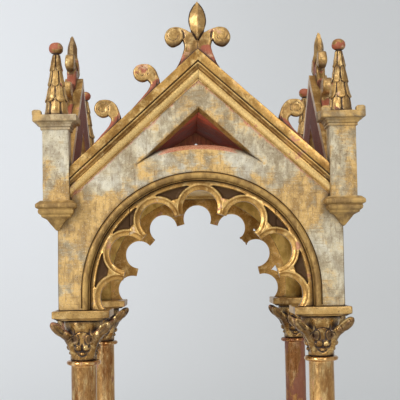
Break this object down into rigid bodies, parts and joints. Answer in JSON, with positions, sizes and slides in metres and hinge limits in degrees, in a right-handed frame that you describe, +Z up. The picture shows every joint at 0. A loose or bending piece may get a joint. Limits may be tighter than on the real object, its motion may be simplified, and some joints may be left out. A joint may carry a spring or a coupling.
{
  "type": "altar canopy",
  "caption": "Gothic Revival altar canopy of gilded wood: columns with leaf capitals carry a square stage of gabled panels with cusped arches, corner spires, crockets and fleurs-de-lis.",
  "frame": {"origin": "centre of the platform's underside, where the canopy stands", "axes": "+Z up; the front of the canopy, which has lost one crocket, looks towards -Y; +X is to the right seen from the front"},
  "size_m": [0.47, 0.47, 1.0006],
  "materials": {
    "gesso_gilt": "worn gilding with pale gesso showing through",
    "moulding_gilt": "gilded",
    "carved_gilt": "gilded, worn to pink gesso and red bole on the edges",
    "column_gilt": "burnished gilding worn to red bole",
    "capital_gilt": "gilded, darkened in the hollows",
    "ceiling_gilt": "dull gold-brown paint",
    "roof_bole": "dark red-brown paint",
    "platform_gilt": "worn gilding"
  },
  "bodies": {
    "root": {"base_platform": "platform_gilt", "ceiling_board": "ceiling_gilt", "roof_board_left": "roof_bole", "roof_board_right": "roof_bole", "panel_front": "gesso_gilt", "tracery_front": "moulding_gilt", "fleur_front": "carved_gilt", "rake_front_left": "moulding_gilt", "crocket_front_left_upper": "carved_gilt", "crocket_front_left_lower": "carved_gilt", "rake_front_right": "moulding_gilt", "crocket_front_right_lower": "carved_gilt", "panel_right": "gesso_gilt", "tracery_right": "moulding_gilt", "fleur_right": "carved_gilt", "rake_right_left": "moulding_gilt", "crocket_right_left_upper": "carved_gilt", "crocket_right_left_lower": "carved_gilt", "rake_right_right": "moulding_gilt", "crocket_right_right_upper": "carved_gilt", "crocket_right_right_lower": "carved_gilt", "panel_back": "gesso_gilt", "tracery_back": "moulding_gilt", "fleur_back": "carved_gilt", "rake_back_left": "moulding_gilt", "crocket_back_left_upper": "carved_gilt", "crocket_back_left_lower": "carved_gilt", "rake_back_right": "moulding_gilt", "crocket_back_right_upper": "carved_gilt", "crocket_back_right_lower": "carved_gilt", "panel_left": "gesso_gilt", "tracery_left": "moulding_gilt", "fleur_left": "carved_gilt", "rake_left_left": "moulding_gilt", "crocket_left_left_upper": "carved_gilt", "crocket_left_left_lower": "carved_gilt", "rake_left_right": "moulding_gilt", "crocket_left_right_upper": "carved_gilt", "crocket_left_right_lower": "carved_gilt", "column_front_left": "column_gilt", "capital_front_left": "capital_gilt", "abacus_front_left": "carved_gilt", "turret_front_left": "gesso_gilt", "spire_front_left": "carved_gilt", "column_front_right": "column_gilt", "capital_front_right": "capital_gilt", "abacus_front_right": "carved_gilt", "turret_front_right": "gesso_gilt", "spire_front_right": "carved_gilt", "column_back_right": "column_gilt", "capital_back_right": "capital_gilt", "abacus_back_right": "carved_gilt", "turret_back_right": "gesso_gilt", "spire_back_right": "carved_gilt", "column_back_left": "column_gilt", "capital_back_left": "capital_gilt", "abacus_back_left": "carved_gilt", "turret_back_left": "gesso_gilt", "spire_back_left": "carved_gilt"}
  },
  "joints": []
}
